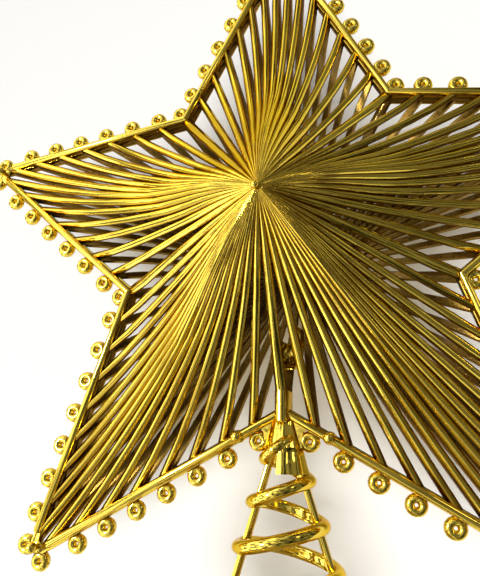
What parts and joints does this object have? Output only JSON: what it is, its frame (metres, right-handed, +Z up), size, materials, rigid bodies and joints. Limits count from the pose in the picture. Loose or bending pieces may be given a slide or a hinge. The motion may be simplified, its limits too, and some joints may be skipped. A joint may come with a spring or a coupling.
{
  "type": "christmas tree topper star",
  "caption": "Gold openwork five-pointed star with ribbed raised faces and eyelet edges, on a conical coil base that slips over the top shoot of a tree.",
  "frame": {"origin": "middle of the coil's mouth, on the plane of its flat last turn", "axes": "Z up along the coil's axis, X to the right across the star, the star's front faces -Y"},
  "size_m": [0.1812, 0.0632, 0.1902],
  "materials": {
    "gold_plated_plastic": "bright gold vacuum plating on moulded plastic"
  },
  "bodies": {
    "root": {"back_bar_foot_left_inner": "gold_plated_plastic", "back_bar_foot_left_outer": "gold_plated_plastic", "back_bar_foot_right_inner": "gold_plated_plastic", "back_bar_foot_right_outer": "gold_plated_plastic", "back_bar_left_lower": "gold_plated_plastic", "back_bar_left_upper": "gold_plated_plastic", "back_bar_right_lower": "gold_plated_plastic", "back_bar_right_upper": "gold_plated_plastic", "back_bar_top_left": "gold_plated_plastic", "back_bar_top_right": "gold_plated_plastic", "back_hub": "gold_plated_plastic", "back_neck": "gold_plated_plastic", "back_ribs_foot_left_inner": "gold_plated_plastic", "back_ribs_foot_left_outer": "gold_plated_plastic", "back_ribs_foot_right_inner": "gold_plated_plastic", "back_ribs_foot_right_outer": "gold_plated_plastic", "back_ribs_left_lower": "gold_plated_plastic", "back_ribs_left_upper": "gold_plated_plastic", "back_ribs_right_lower": "gold_plated_plastic", "back_ribs_right_upper": "gold_plated_plastic", "back_ribs_top_left": "gold_plated_plastic", "back_ribs_top_right": "gold_plated_plastic", "coil": "gold_plated_plastic", "front_bar_foot_left_inner": "gold_plated_plastic", "front_bar_foot_left_outer": "gold_plated_plastic", "front_bar_foot_right_inner": "gold_plated_plastic", "front_bar_foot_right_outer": "gold_plated_plastic", "front_bar_left_lower": "gold_plated_plastic", "front_bar_left_upper": "gold_plated_plastic", "front_bar_right_lower": "gold_plated_plastic", "front_bar_right_upper": "gold_plated_plastic", "front_bar_top_left": "gold_plated_plastic", "front_bar_top_right": "gold_plated_plastic", "front_hub": "gold_plated_plastic", "front_neck": "gold_plated_plastic", "front_ribs_foot_left_inner": "gold_plated_plastic", "front_ribs_foot_left_outer": "gold_plated_plastic", "front_ribs_foot_right_inner": "gold_plated_plastic", "front_ribs_foot_right_outer": "gold_plated_plastic", "front_ribs_left_lower": "gold_plated_plastic", "front_ribs_left_upper": "gold_plated_plastic", "front_ribs_right_lower": "gold_plated_plastic", "front_ribs_right_upper": "gold_plated_plastic", "front_ribs_top_left": "gold_plated_plastic", "front_ribs_top_right": "gold_plated_plastic", "leg_left": "gold_plated_plastic", "leg_right": "gold_plated_plastic", "light_clip": "gold_plated_plastic", "neck_pins": "gold_plated_plastic", "tip_pins": "gold_plated_plastic"}
  },
  "joints": []
}
